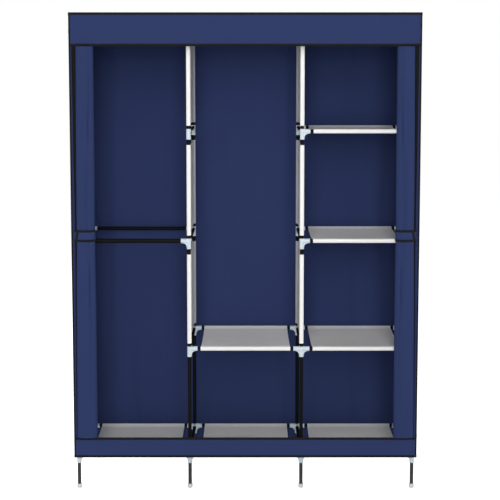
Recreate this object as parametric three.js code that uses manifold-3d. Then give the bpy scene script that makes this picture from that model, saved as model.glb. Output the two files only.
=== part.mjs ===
// Portable fabric wardrobe: a knock-down frame of steel tubes and moulded connectors,
// cloth shelves and dividers slipped over the tubes, and a sewn cover whose two front
// curtains are gathered to the sides and held by tie bands.
// Millimetres, +Z up. The front faces -Y, and +X is the viewer's right.
// Origin: on the floor, under the middle of the cover.

import * as THREE from 'three';
import { mergeVertices } from 'three/addons/utils/BufferGeometryUtils.js';
import Module from 'manifold-3d';

const wasm = await Module();
wasm.setup();

// Driving dimensions of the frame
const overallHeight = 1750;
const bayPitch = 412; // post axis to post axis, across the front
const postDepth = 389; // front post axis to back post axis
const baseLevel = 126; // floor to the axis of the base rails
const levelPitch = 400; // between the rail levels above the base

// Tubes and foot caps
const tubeRadius = 6.5;
const tubeWall = 0.5;
const tubeSides = 8;
const capRadius = 9;
const capHeight = 16;
const capFloor = 3;
const hangingRodRadius = 8.2; // the front hanging rod, between its sockets

// Moulded connectors
const plugClearance = 0.3; // round a tube in its socket or sleeve
const sleeveWall = 1.4;
const sleeveRise = 8.5; // sleeve above the rail axis
const sleeveDrop = 30; // sleeve below the rail axis
const armReach = 29.5; // post axis to the end of an arm
const webReach = 16; // web along the arm and the sleeve, from their corner
const webThickness = 5;
const webBowShare = 0.3; // how far the web's free edge bows in, of its reach
const webSteps = 3;

// Cloth shelves and divider panels
const sheetThickness = 1.2;
const hemClearance = 0.3;
const shelfInset = 41; // post axis to the end of a shelf
const panelFoot = 20; // rail axis below to the lower end of a panel
const panelHead = 50; // rail axis above to the upper end of a panel

// Sewn cover
const coverThickness = 1.5;
const sideMargin = 12; // outer post axis to the outer face of a side
const frontMargin = 43; // front post axis to the front face
const backMargin = 18; // back post axis to the back face
const coverBottom = 127;
const backBottom = 52; // the back hangs lower than the sides and the flap
const bindingWidth = 9;
const valanceHeight = 120;
const flapHeight = 76;
const seamGap = 0.3;

// Gathered curtains and their tie bands
const curtainEndGap = 3; // to the valance above and the flap below
const curtainSheet = 1; // cloth between the seam and the roll
const seamDepth = 0.7; // front face to the middle of that cloth at the seam
const tailTop = 14; // seam to the roll, at its upper end
const tailTie = 8.5; // the same at the tie band
const tailFoot = 2; // the same at its lower end
const rollReach = 76.5; // seam to the roll's inner edge
const rollThickness = 42;
const rollProud = 12; // how far the roll stands out from the front face
const rollPointsPerSide = 14;
const rollRingsPerHalf = 8; // sections below the tie band, and as many above it
const rollSquareShare = 0.8; // exponent of the section: 1 is an ellipse
const foldCount = 2;
const foldDepthShare = 0.24;
const foldDriftShare = 0.12; // how far the folds wander along the roll
const foldDriftLength = 640;
const waistShare = 0.04;
const waistSpan = 120;
const tieLevel = 950;
const tieHeight = 43;
const tieThickness = 1.4;
const tieGap = 0.4;
const tieEndTop = 12.5; // seam to the upper corner of the band's free end
const tieEndFoot = 4.5; // seam to its lower corner
const tieEndProud = 1; // how far that corner stands out from the front face
const tieWrapSteps = 11; // points of the section that the band follows from the inner edge

// Sizes worked out from the ones above
const bayCount = 3;
const postColumns = [0, 1, 2, 3];
const halfFrameWidth = (bayPitch * bayCount) / 2;
const halfWidth = halfFrameWidth + sideMargin;
const halfDepth = (postDepth + frontMargin + backMargin) / 2;
const frontY = -halfDepth + frontMargin;
const backY = halfDepth - backMargin;
const hoodTop = overallHeight - bindingWidth;
const hoodUnder = hoodTop - coverThickness;
const topLevel = hoodUnder - seamGap - sleeveRise;
const sleeveBore = tubeRadius + plugClearance;
const sleeveRadius = sleeveBore + sleeveWall;
const railStart = sleeveRadius + plugClearance;
const hemBore = tubeRadius + hemClearance;
const hemRadius = hemBore + sheetThickness;
const postX = (column) => -halfFrameWidth + bayPitch * column;

const levels = {
  base: baseLevel,
  low: baseLevel + levelPitch,
  mid: baseLevel + levelPitch * 2,
  high: baseLevel + levelPitch * 3,
  top: topLevel,
};
const columnNames = ['left_side', 'left_divider', 'right_divider', 'right_side'];
const bayNames = ['left', 'centre', 'right'];
const rows = {
  front: { y: frontY, inward: 1 },
  back: { y: backY, inward: -1 },
};

// Materials
const material = (color, roughness, metalness) =>
  new THREE.MeshStandardMaterial({ color, roughness, metalness });
const paintedTube = material(0x2b2b2e, 0.4, 0.6);
const navyCloth = material(0x33405f, 0.9, 0);
const paleCloth = material(0xd8d9d6, 0.9, 0);
const tieCloth = material(0x33436e, 0.85, 0);

// Mesh helpers
function toSolid(geometry) {
  geometry.deleteAttribute('normal');
  geometry.deleteAttribute('uv');
  const merged = mergeVertices(geometry);
  return new wasm.Manifold(
    new wasm.Mesh({
      numProp: 3,
      vertProperties: new Float32Array(merged.attributes.position.array),
      triVerts: new Uint32Array(merged.index.array),
    })
  );
}

function toGeometry(solid) {
  const { vertProperties, triVerts } = solid.getMesh();
  const geometry = new THREE.BufferGeometry();
  geometry.setAttribute('position', new THREE.BufferAttribute(vertProperties, 3));
  geometry.setIndex(new THREE.BufferAttribute(triVerts, 1));
  return geometry;
}

const joined = (solids) => solids.reduce((whole, next) => whole.add(next));
const cutBy = (solid, tools) => tools.reduce((rest, tool) => rest.subtract(tool), solid);
const point = (x, y, z) => new THREE.Vector3(x, y, z);

// An eight-sided bar between two points; radius is half the distance across its flats.
function bar(start, end, radius) {
  const run = end.clone().sub(start);
  const corner = radius / Math.cos(Math.PI / tubeSides);
  const geometry = new THREE.CylinderGeometry(corner, corner, run.length(), tubeSides);
  geometry.rotateY(Math.PI / tubeSides);
  const turn = new THREE.Quaternion();
  turn.setFromUnitVectors(point(0, 1, 0), run.clone().normalize());
  geometry.applyQuaternion(turn);
  const middle = start.clone().add(end).divideScalar(2);
  geometry.translate(middle.x, middle.y, middle.z);
  return toSolid(geometry);
}

function slab(x0, x1, y0, y1, z0, z1) {
  const geometry = new THREE.BoxGeometry(x1 - x0, y1 - y0, z1 - z0);
  geometry.translate((x0 + x1) / 2, (y0 + y1) / 2, (z0 + z1) / 2);
  return toSolid(geometry);
}

// Frame: connectors, rails and posts

// The web under an arm, drawn with the arm along +X and the sleeve down -Y.
function webSolid(turnAboutZ, at) {
  const outline = new THREE.Shape();
  outline.moveTo(0, 0);
  outline.lineTo(sleeveRadius + webReach, 0);
  outline.lineTo(sleeveRadius + webReach, -sleeveRadius);
  const bow = webReach * webBowShare;
  for (let step = 1; step < webSteps; step += 1) {
    const along = step / webSteps;
    const sag = bow * Math.sin(Math.PI * along);
    outline.lineTo(
      sleeveRadius + webReach * (1 - along) - sag,
      -sleeveRadius - webReach * along + sag
    );
  }
  outline.lineTo(sleeveRadius, -sleeveRadius - webReach);
  outline.lineTo(0, -sleeveRadius - webReach);
  const geometry = new THREE.ExtrudeGeometry(outline, {
    depth: webThickness,
    bevelEnabled: false,
  });
  geometry.translate(0, 0, -webThickness / 2);
  geometry.rotateX(Math.PI / 2);
  geometry.rotateZ(turnAboutZ);
  geometry.translate(at.x, at.y, at.z);
  return toSolid(geometry);
}

// A connector's arms: 'left' and 'right' run across, 'depth' runs to the other row.
// Arms named in open have a socket, and the others are filled by a rail of the same node.
function connector(column, row, level, arms, open) {
  const at = point(postX(column), rows[row].y, levels[level]);
  const ways = {
    left: point(-1, 0, 0),
    right: point(1, 0, 0),
    depth: point(0, rows[row].inward, 0),
  };
  const top = at.clone().setZ(at.z + sleeveRise);
  const bottom = at.clone().setZ(at.z - sleeveDrop);
  const shells = [bar(bottom, top, sleeveRadius)];
  const boreTop = level === 'top' ? sleeveRise - sleeveWall : sleeveRise + sleeveDrop;
  const bores = [
    bar(bottom.clone().setZ(bottom.z - sleeveDrop), at.clone().setZ(at.z + boreTop), sleeveBore),
  ];
  for (const arm of arms) {
    const way = ways[arm];
    const end = at.clone().addScaledVector(way, armReach);
    shells.push(bar(at, end, sleeveRadius));
    shells.push(webSolid(Math.atan2(way.y, way.x), at));
    if (open.includes(arm)) {
      const floor = at.clone().addScaledVector(way, sleeveRadius);
      bores.push(bar(floor, end.clone().addScaledVector(way, armReach), sleeveBore));
    }
  }
  return { shells, bores };
}

// A rail of its own: a tube whose ends sit in the sockets at both posts.
function rail(start, end) {
  const way = end.clone().sub(start).normalize();
  const from = start.clone().addScaledVector(way, railStart);
  const to = end.clone().addScaledVector(way, -railStart);
  const boreFrom = from.clone().addScaledVector(way, -tubeRadius);
  const boreTo = to.clone().addScaledVector(way, tubeRadius);
  return bar(from, to, tubeRadius).subtract(bar(boreFrom, boreTo, tubeRadius - tubeWall));
}

// The front hanging rod: a rail whose wall is thicker between the sockets.
function hangingRod(start, end) {
  const way = end.clone().sub(start).normalize();
  const shoulder = armReach + plugClearance;
  const from = start.clone().addScaledVector(way, shoulder);
  const to = end.clone().addScaledVector(way, -shoulder);
  const body = bar(from, to, hangingRodRadius).subtract(bar(from, to, tubeRadius - tubeWall));
  return rail(start, end).add(body);
}

// A rail held fast in its connectors: its bore opens into the sleeves at both ends.
function fixedRail(start, end) {
  return {
    shells: [bar(start, end, tubeRadius)],
    bores: [bar(start, end, tubeRadius - tubeWall)],
  };
}

const acrossEnds = (bay, row, level) => [
  point(postX(bay), rows[row].y, levels[level]),
  point(postX(bay + 1), rows[row].y, levels[level]),
];
const depthEnds = (column, level) => [
  point(postX(column), frontY, levels[level]),
  point(postX(column), backY, levels[level]),
];

function assembled(pieces) {
  const shells = pieces.flatMap((piece) => piece.shells);
  const bores = pieces.flatMap((piece) => piece.bores);
  return cutBy(joined(shells), bores);
}

// The rails of neighbouring bays at one level and row, with their connectors.
function railRun(level, row, bays) {
  const columns = [...bays, bays[bays.length - 1] + 1];
  const pieces = columns.map((column) => {
    const arms = ['depth'];
    if (bays.includes(column - 1)) arms.push('left');
    if (bays.includes(column)) arms.push('right');
    return connector(column, row, level, arms, ['depth']);
  });
  for (const bay of bays) pieces.push(fixedRail(...acrossEnds(bay, row, level)));
  return assembled(pieces);
}

// One side rail with its front and back connectors; arms take the rails across.
function rung(level, column, arms) {
  const pieces = Object.keys(rows).map((row) =>
    connector(column, row, level, ['depth', ...arms], arms)
  );
  pieces.push(fixedRail(...depthEnds(column, level)));
  return assembled(pieces);
}

// A post with its foot cap; couplings are levels where only a sleeve joins its tubes.
function post(column, row, couplings) {
  const x = postX(column);
  const { y } = rows[row];
  const tubeTop = topLevel + sleeveRise - sleeveWall - plugClearance;
  const shells = [
    bar(point(x, y, 0), point(x, y, capHeight), capRadius),
    bar(point(x, y, capFloor), point(x, y, tubeTop), tubeRadius),
  ];
  for (const level of couplings) {
    const z = levels[level];
    shells.push(bar(point(x, y, z - sleeveDrop), point(x, y, z + sleeveRise), sleeveRadius));
  }
  const bore = bar(
    point(x, y, capFloor),
    point(x, y, tubeTop + tubeRadius),
    tubeRadius - tubeWall
  );
  return joined(shells).subtract(bore);
}

// Cloth shelves and panels: a sheet with a hem slipped over the tube at each end.
// Their outline is drawn with p from the front tube's axis to the back one, and q across.
const cornerAngle = (corner) => (Math.PI * (2 * corner + 1)) / tubeSides;

function hemCorners(radius, p, first, count) {
  const spots = [];
  const reach = radius / Math.cos(Math.PI / tubeSides);
  for (let corner = first; corner < first + count; corner += 1) {
    const angle = cornerAngle(corner);
    spots.push([p + reach * Math.cos(angle), reach * Math.sin(angle)]);
  }
  return spots;
}

// The sheet leaves the hems at their middle.
function hemmedGeometry(length) {
  const half = sheetThickness / 2;
  const outline = [
    ...hemCorners(hemRadius, 0, 0, tubeSides),
    [hemRadius, -half],
    [postDepth - hemRadius, -half],
    ...hemCorners(hemRadius, postDepth, tubeSides / 2, tubeSides),
    [postDepth - hemRadius, half],
    [hemRadius, half],
  ];
  const shape = new THREE.Shape(outline.map(([p, q]) => new THREE.Vector2(p, q)));
  for (const p of [0, postDepth]) {
    const bore = hemCorners(hemBore, p, 0, tubeSides);
    shape.holes.push(new THREE.Path(bore.map(([bp, bq]) => new THREE.Vector2(bp, bq))));
  }
  return new THREE.ExtrudeGeometry(shape, { depth: length, bevelEnabled: false });
}

function shelf(bay, level) {
  const geometry = hemmedGeometry(bayPitch - 2 * shelfInset);
  const turned = new THREE.Matrix4();
  turned.makeBasis(point(0, 1, 0), point(0, 0, 1), point(1, 0, 0));
  geometry.applyMatrix4(turned);
  geometry.translate(postX(bay) + shelfInset, frontY, levels[level]);
  return toSolid(geometry);
}

function dividerPanel(column, below, above) {
  const z0 = levels[below] + panelFoot;
  const geometry = hemmedGeometry(levels[above] - panelHead - z0);
  geometry.rotateZ(Math.PI / 2);
  geometry.translate(postX(column), frontY, z0);
  return toSolid(geometry);
}

// Cover
const innerFront = -halfDepth + coverThickness;
const valanceBottom = overallHeight - valanceHeight;
const flapTop = coverBottom + flapHeight;

// Top panel and the valance sewn to its front edge; the bound seam stands up as a ridge.
function coverHood() {
  const top = slab(-halfWidth, halfWidth, -halfDepth, halfDepth, hoodUnder, hoodTop);
  const valance = slab(
    -halfWidth,
    halfWidth,
    -halfDepth,
    innerFront,
    valanceBottom,
    overallHeight
  );
  return top.add(valance);
}

function coverBack() {
  const z1 = hoodUnder - seamGap;
  return slab(-halfWidth, halfWidth, halfDepth - coverThickness, halfDepth, backBottom, z1);
}

// A side with the bound lip that edges the front opening.
function coverSide(side) {
  const across = (near, far) => (side < 0 ? [-far, -near] : [near, far]);
  const sideInner = halfWidth - coverThickness;
  const lipBottom = flapTop + seamGap;
  const lipTop = valanceBottom - seamGap;
  const backEnd = halfDepth - coverThickness - seamGap;
  const sheet = slab(
    ...across(sideInner, halfWidth),
    innerFront + seamGap,
    backEnd,
    coverBottom,
    hoodUnder - seamGap
  );
  const edge = slab(...across(sideInner, halfWidth), -halfDepth, backEnd, lipBottom, lipTop);
  const lip = slab(
    ...across(halfWidth - bindingWidth, halfWidth),
    -halfDepth,
    innerFront,
    lipBottom,
    lipTop
  );
  return joined([sheet, edge, lip]);
}

function coverBottomFlap() {
  return slab(-halfWidth, halfWidth, -halfDepth, innerFront, coverBottom, flapTop);
}

// Curtains: u runs inward from the seam and v runs back from the front face.
const seamX = halfWidth - bindingWidth - seamDepth;
const rollHalfDepth = rollThickness / 2;
const rollV = rollHalfDepth - rollProud;
const rollFoot = flapTop + curtainEndGap;
const rollHead = valanceBottom - curtainEndGap;
const tieBottom = tieLevel - tieHeight / 2;
const tieTop = tieLevel + tieHeight / 2;

// How much narrower the roll is at a height: the same all along the band
function waistAt(z) {
  const away = Math.max(0, tieBottom - z, z - tieTop);
  return 1 - waistShare * Math.exp(-((away / waistSpan) ** 2));
}

// How far the roll starts from the seam at a height
function tailAt(z) {
  if (z > tieTop) {
    return tailTie + ((tailTop - tailTie) * (z - tieTop)) / (rollHead - tieTop);
  }
  const below = Math.max(0, tieBottom - z) / (tieBottom - rollFoot);
  return tailTie + (tailFoot - tailTie) * below;
}

// The roll's middle and half width at a height, measured from the seam
function rollSpan(z) {
  const tail = tailAt(z);
  const half = (rollReach - tail) / 2;
  return { middle: tail + half, halfU: half * waistAt(z) };
}
const eased = (value) => Math.sign(value) * Math.abs(value) ** rollSquareShare;

// A point on the roll's section; angle 0 is the inner edge and negative is the front.
function rollPoint(angle, { middle, halfU, halfV }, grooveShare, phase) {
  const across = eased(Math.cos(angle));
  const deep = eased(Math.sin(angle));
  const wave = (1 - Math.cos(Math.PI * foldCount * (across + 1) + phase)) / 2;
  const groove = 1 - grooveShare * wave * Math.abs(Math.sin(angle));
  return [middle + halfU * across, rollV + halfV * deep * groove];
}

function curtainSection(z) {
  const { middle, halfU } = rollSpan(z);
  const halfV = rollHalfDepth * waistAt(z);
  const drift = Math.sin((2 * Math.PI * z) / foldDriftLength);
  const phase = 2 * Math.PI * foldDriftShare * drift;
  const half = curtainSheet / 2;
  const outline = [[0, seamDepth - half]];
  const steps = rollPointsPerSide;
  outline.push([middle - halfU, rollV - half]);
  for (let step = 1; step < steps * 2; step += 1) {
    const angle = -Math.PI + (Math.PI * step) / steps;
    outline.push(rollPoint(angle, { middle, halfU, halfV }, foldDepthShare, phase));
  }
  outline.push([middle - halfU, rollV + half]);
  outline.push([0, seamDepth + half]);
  return outline;
}

function toWorld(side, [u, v]) {
  return [side * (seamX - u), -halfDepth + v];
}

// Heights of the roll's sections: even steps up to the band, and even steps above it
function ringHeights() {
  const heights = [];
  for (const [from, to] of [
    [rollFoot, tieBottom],
    [tieTop, rollHead],
  ]) {
    for (let step = 0; step <= rollRingsPerHalf; step += 1) {
      heights.push(from + ((to - from) * step) / rollRingsPerHalf);
    }
  }
  return heights;
}

function curtain(side) {
  const heights = ringHeights();
  const positions = [];
  const index = [];
  let count = 0;
  for (const z of heights) {
    const section = curtainSection(z);
    count = section.length;
    for (const spot of section) positions.push(...toWorld(side, spot), z);
  }
  const lastRing = heights.length - 1;
  const face = (a, b, c) => index.push(...(side < 0 ? [a, b, c] : [a, c, b]));
  for (let ring = 0; ring < lastRing; ring += 1) {
    for (let spot = 0; spot < count; spot += 1) {
      const next = (spot + 1) % count;
      const low = ring * count;
      const high = low + count;
      face(low + spot, low + next, high + next);
      face(low + spot, high + next, high + spot);
    }
  }
  for (const ring of [0, lastRing]) {
    const flat = curtainSection(heights[ring]).map(([u, v]) => new THREE.Vector2(u, v));
    const first = ring * count;
    for (const [a, b, c] of THREE.ShapeUtils.triangulateShape(flat, [])) {
      if (ring === 0) face(first + a, first + c, first + b);
      else face(first + a, first + b, first + c);
    }
  }
  const geometry = new THREE.BufferGeometry();
  geometry.setAttribute('position', new THREE.Float32BufferAttribute(positions, 3));
  geometry.setIndex(index);
  return geometry;
}

// The front half of a tie band, from its free outer end round to the roll's inner edge.
function tieBand(side) {
  const span = rollSpan(tieLevel);
  const path = (gap) => {
    const halfU = span.halfU + gap;
    const halfV = rollHalfDepth * waistAt(tieLevel) + gap;
    const spots = [];
    for (let step = 0; step <= tieWrapSteps; step += 1) {
      const angle = (-Math.PI * step) / rollPointsPerSide;
      spots.push(rollPoint(angle, { middle: span.middle, halfU, halfV }, 0, 0));
    }
    spots.push([Math.min(tieEndTop, tieEndFoot), -tieEndProud - gap]);
    return spots;
  };
  const outer = path(tieGap + tieThickness);
  const inner = path(tieGap).reverse();
  const outline = new THREE.Shape();
  [...outer, ...inner].forEach((spot, order) => {
    const [x, y] = toWorld(side, spot);
    if (order === 0) outline.moveTo(x, y);
    else outline.lineTo(x, y);
  });
  const geometry = new THREE.ExtrudeGeometry(outline, { depth: tieHeight, bevelEnabled: false });
  geometry.translate(0, 0, tieBottom);
  const [footX] = toWorld(side, [tieEndFoot, 0]);
  const inward = point(-side * tieHeight, 0, tieEndFoot - tieEndTop).normalize();
  const edgeAt = inward.dot(point(footX, 0, tieBottom));
  return toGeometry(toSolid(geometry).trimByPlane(inward.toArray(), edgeAt));
}

// The scene graph
const wardrobe = new THREE.Group();
const frame = new THREE.Group();
const cloth = new THREE.Group();
const cover = new THREE.Group();
wardrobe.add(frame, cloth, cover);

function place(group, name, geometry, surface) {
  const mesh = new THREE.Mesh(geometry, surface);
  mesh.name = name;
  group.add(mesh);
}
const placeSolid = (group, name, solid, surface) =>
  place(group, name, toGeometry(solid), surface);

// Posts; the left side has plain couplings at the levels with no rail.
for (const column of postColumns) {
  for (const row of Object.keys(rows)) {
    const couplings = column === 0 ? ['low', 'high'] : [];
    placeSolid(
      frame,
      `${columnNames[column]}_${row}_post`,
      post(column, row, couplings),
      paintedTube
    );
  }
}

// Levels whose rails run through neighbouring bays, and the side rails they take
const runs = { base: [0, 1, 2], low: [1, 2], top: [0, 1, 2] };
for (const [level, bays] of Object.entries(runs)) {
  for (const row of Object.keys(rows)) {
    placeSolid(frame, `${level}_${row}_rails`, railRun(level, row, bays), paintedTube);
  }
  for (const column of [...bays, bays[bays.length - 1] + 1]) {
    placeSolid(
      frame,
      `${level}_${columnNames[column]}_rail`,
      rail(...depthEnds(column, level)),
      paintedTube
    );
  }
}

// Levels with rungs, and the single rails that plug into them
const rungs = {
  mid: [['right'], ['left'], ['right'], ['left']],
  high: [null, [], ['right'], ['left']],
};
for (const [level, armsByColumn] of Object.entries(rungs)) {
  armsByColumn.forEach((arms, column) => {
    if (arms) {
      const name = `${level}_${columnNames[column]}_rung`;
      placeSolid(frame, name, rung(level, column, arms), paintedTube);
    }
  });
}
for (const row of Object.keys(rows)) {
  const rod = row === 'front' ? hangingRod : rail;
  const rodEnds = acrossEnds(0, row, 'mid');
  placeSolid(frame, `left_hanging_rod_${row}`, rod(...rodEnds), paintedTube);
  for (const level of Object.keys(rungs)) {
    const single = rail(...acrossEnds(2, row, level));
    placeSolid(frame, `${level}_right_${row}_rail`, single, paintedTube);
  }
}

// Shelves by level, as bay numbers from the left
const shelves = { base: [0, 1, 2], low: [1, 2], mid: [2], high: [2] };
for (const [level, bays] of Object.entries(shelves)) {
  for (const bay of bays) {
    placeSolid(cloth, `${level}_${bayNames[bay]}_shelf`, shelf(bay, level), paleCloth);
  }
}

// Divider panels in the three upper storeys
const storeys = [
  ['low', 'mid'],
  ['mid', 'high'],
  ['high', 'top'],
];
for (const column of [1, 2]) {
  for (const [below, above] of storeys) {
    const name = `${columnNames[column]}_panel_above_${below}`;
    placeSolid(cloth, name, dividerPanel(column, below, above), paleCloth);
  }
}

placeSolid(cover, 'cover_hood', coverHood(), navyCloth);
placeSolid(cover, 'cover_back', coverBack(), navyCloth);
placeSolid(cover, 'cover_bottom_flap', coverBottomFlap(), navyCloth);
for (const [name, side] of [
  ['left', -1],
  ['right', 1],
]) {
  placeSolid(cover, `cover_${name}_side`, coverSide(side), navyCloth);
  place(cover, `${name}_curtain`, curtain(side), navyCloth);
  place(cover, `${name}_tie_band`, tieBand(side), tieCloth);
}

export default wardrobe;
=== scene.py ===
import math

import bpy
from mathutils import Matrix, Vector, noise


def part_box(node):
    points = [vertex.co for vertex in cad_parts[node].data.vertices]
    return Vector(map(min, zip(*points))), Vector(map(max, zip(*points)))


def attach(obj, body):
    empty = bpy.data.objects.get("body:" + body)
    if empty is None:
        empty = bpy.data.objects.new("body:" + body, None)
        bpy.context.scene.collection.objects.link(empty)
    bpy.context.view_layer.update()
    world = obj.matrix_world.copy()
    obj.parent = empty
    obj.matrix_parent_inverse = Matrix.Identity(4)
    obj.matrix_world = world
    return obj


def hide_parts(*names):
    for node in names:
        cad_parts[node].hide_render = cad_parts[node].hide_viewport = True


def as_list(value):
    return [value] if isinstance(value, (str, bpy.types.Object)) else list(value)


# Looks of the portable fabric wardrobe: tubes, connectors, hemmed shelves and dividers,
# the bound cover and its two rolled curtains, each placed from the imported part.
# Metres, +Z up. The front faces -Y, and +X is the viewer's right.
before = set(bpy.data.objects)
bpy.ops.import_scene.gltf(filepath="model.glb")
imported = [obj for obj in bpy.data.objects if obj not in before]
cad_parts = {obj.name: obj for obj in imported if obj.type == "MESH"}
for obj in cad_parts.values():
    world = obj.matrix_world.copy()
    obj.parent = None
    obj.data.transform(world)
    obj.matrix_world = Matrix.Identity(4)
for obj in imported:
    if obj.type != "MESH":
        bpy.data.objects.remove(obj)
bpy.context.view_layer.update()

# Tubes, connectors and caps, with the part's sizes where it has them
TUBE_RADIUS = 0.0065
TUBE_WALL = 0.0005
PLUG_CLEARANCE = 0.0003
BORE_RADIUS = TUBE_RADIUS + PLUG_CLEARANCE
SLEEVE_WALL = 0.0014
SLEEVE_RADIUS = BORE_RADIUS + SLEEVE_WALL
SLEEVE_RISE = 0.0085
SLEEVE_DROP = 0.030
ARM_REACH = 0.0295
RAIL_START = 0.0085
SOCKET_GAP = 0.0004
WEB_REACH = 0.016
WEB_THICKNESS = 0.005
WEB_BOW_SHARE = 0.3
WEB_STEPS = 6
WEB_ROOT = 0.005
ROD_STEP = (ARM_REACH + SOCKET_GAP - RAIL_START, 0.0082)  # the thick rod's shoulder and radius
BORE_OVERRUN = 0.2
CAP_RADIUS = 0.009
CAP_HEIGHT = 0.016
CAP_FLOOR = 0.003
CAP_FOOT_EDGE = ((0, 0.0016), (0.0005, 0.0006), (0.0014, 0))  # height, in from the rim
CAP_RIM_EDGE = 0.001
GRIP_HEIGHTS = (0.006, 0.010)
GRIP_DEPTH = 0.0004
GRIP_HALF_WIDTH = 0.0008
COLLAR_RISE = 0.0005
COLLAR_LENGTH = 0.003
ROUND_SIDES = 28

# Hemmed shelves and divider panels
SHELF_INSET = 0.041
PANEL_FOOT = 0.020
PANEL_HEAD = 0.050
CLOTH_THICKNESS = 0.0009
HEM_RADIUS = 0.0074
HEM_SEAM = 0.017
HEM_ALLOWANCE = 0.007
LAYER_GAP = 0.0014
HEM_STEPS = 14
SHEET_STEPS = 34
SHELF_STEPS = 30
SHELF_SAG = 0.005
SHELF_EDGE_SAG_SHARE = 0.25
SHELF_WRINKLE = 0.0011
SHELF_GRAIN = (22, 9)
PANEL_STEPS = 34
PANEL_WRINKLE = 0.0016
PANEL_GRAIN = (16, 8)
PANEL_SCALLOP = 0.004

# Cover cloth and its binding tape
COVER_CLOTH = 0.0008
FRONT_SETBACK = 0.0007
TAPE_WIDTH = 0.009
TAPE_LEG = 0.0007
TAPE_GAP = 0.0006
TAPE_STITCH = 0.0066
TAPE_PUCKER = 0.00018
TAPE_PUCKER_GRAIN = 90
TAPE_STEP = 0.014
SIDE_TAPE_WIDTH = 0.0062
ROOF_TAPE_WIDTH = 0.0118
LIP_WIDTH = 0.0091
LIP_SETBACK = 0.001
COVER_STEP = 0.010
FOLD_PITCH = 0.13
FOLD_HALF_WIDTH = 0.017
FOLD_SCATTER = 0.6
FOLD_WANDER = 0.04
FOLD_DEPTH_SHARE = 0.75
FOLD_DEPTH_SPREAD = 1.6
RIPPLE_SHARE = 0.4
RIPPLE_GRAIN = (6, 2)
FAN_SHARE = 0.7
FAN_RAYS = 11.0
FAN_REACH = 0.2
EDGE_HOLD = 0.022
TUBE_HOLD = 0.045
DIP_SHARE_AT_TUBE = 0.25
DIP_POWER = 0.6
PUCKER_GRAIN = 26.0
PUCKER_START = 0.006
PUCKER_FADE = 0.026

# For each cover panel: how far it sags between its tubes, swells into folds and puckers at its
# edges, and the seed of its noise
DRAPE = {
    "top": (0.014, 0.0014, 0.0014, 11.0),
    "valance": (0.0, 0.0013, 0.0014, 12.0),
    "back": (0.007, 0.0056, 0.0034, 13.0),
    "flap": (0.0, 0.0011, 0.0012, 14.0),
    "left": (0.012, 0.0056, 0.0034, 14.0),
    "right": (0.012, 0.0056, 0.0034, 16.0),
}

# Rolled curtains and tie bands, with the part's sizes where it has them
BINDING_WIDTH = 0.009
SEAM_DEPTH = 0.0007
TAIL_TOP = 0.014
TAIL_TIE = 0.0085
TAIL_FOOT = 0.002
ROLL_REACH = 0.0765
ROLL_THICKNESS = 0.042
ROLL_PROUD = 0.012
ROLL_SQUARE_HEAD = 1.0
ROLL_SQUARE_FOOT = 0.78
WAIST_SHARE = 0.04
WAIST_SPAN = 0.12
TIE_GAP = 0.0004
TIE_THICKNESS = 0.0014
ROLL_TURNS = 4.5
ROLL_CORE_SHARE = 0.3
ROLL_STEPS = 40
ROLL_RINGS = 64
CURTAIN_END_GAP = 0.0004
STRIP_LIFT = 0.0009
STRIP_STEPS = 4
TIE_STEPS = 14
TIE_WRAP = math.pi * 11 / 14  # how far round the part's band follows the roll
TIE_RUN_STEPS = 6
TIE_END_TOP = 0.0125
TIE_END_FOOT = 0.0045
TIE_END_PROUD = 0.0018
TIE_TAPE_WIDTH = 0.0084
TIE_END_TAPE_WIDTH = 0.0095
TIE_BACK_END = (0.003, 0.004)
STUB_SPOTS = [(0.0125, 0.0004), (0.0075, 0.0016), (0.0035, 0.0014)]
STUB_END = (0.0018, 0.0014)

# Finishes: the heights between which the painted floor light on the legs fades out, the cloth's
# tone drift and bond points, and the stitches' pitch and half width
LEG_FLOOR_LIGHT_FULL = 0.098
LEG_FLOOR_LIGHT_TOP = 0.115
CLOTH_DRIFT = 0.05
BOND_PITCH = 0.0021
CLOTH_SEWING = (0.0042, 0.00045)
TAPE_SEWING = (0.0036, 0.0004)
THREAD_SHARE = 0.72
SHEET_FROM_STITCH = 0.01  # these two keep flat coordinates clear of the stitch line
PANEL_FROM_STITCH = 0.03

# Stage: each lamp's place, size and power, the camera, the world and the floor
LAMPS = {
    "front_lamp": ((0.0, -7.2, 1.3), 2.4, 172),
    "upper_front_lamp": ((0.0, -7.0, 3.2), 2.4, 142),
    "high_lamp": ((0.0, -3.4, 3.8), 1.6, 28),
    "left_side_lamp": ((-4.2, -1.1, 2.3), 1.2, 48),
    "right_side_lamp": ((4.2, -1.1, 2.3), 1.2, 62),
    "left_back_lamp": ((-4.1, 2.8, 2.4), 1.0, 185),
    "right_back_lamp": ((1.0, 5.5, 2.2), 1.6, 28),
}
LAMP_AIM = Vector((0, 0, 0.9))
CAMERA_PLACE = (0.0168, -4.6707, 1.5053)
CAMERA_TILT = 5.697
CAMERA_LENS = 89.17
CAMERA_SHIFT = -0.09
SENSOR_WIDTH = 36
AMBIENT = 0.05
FLOOR_REACH = 30.0
FLOOR_DROP = 0.0004
FLOOR_TONE = (0.86, 0.86, 0.86, 1)
FLOOR_GLOW = 0.95

COLUMNS = ("left_side", "left_divider", "right_divider", "right_side")
BAYS = ("left", "centre", "right")
ROWS = ("front", "back")
SIDES = {"left": -1, "right": 1}


def middle(node):
    low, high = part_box(node)
    return (low + high) / 2


# Places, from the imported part
post_x = [middle(f"{column}_front_post").x for column in COLUMNS]
row_y = {row: middle(f"left_divider_{row}_post").y for row in ROWS}
LEVEL_NODES = {"base": "base_front_rails", "low": "low_front_rails", "mid": "mid_left_side_rung",
               "high": "high_left_divider_rung", "top": "top_front_rails"}
level_z = {level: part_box(node)[1].z - SLEEVE_RISE for level, node in LEVEL_NODES.items()}


# Finishes

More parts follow.
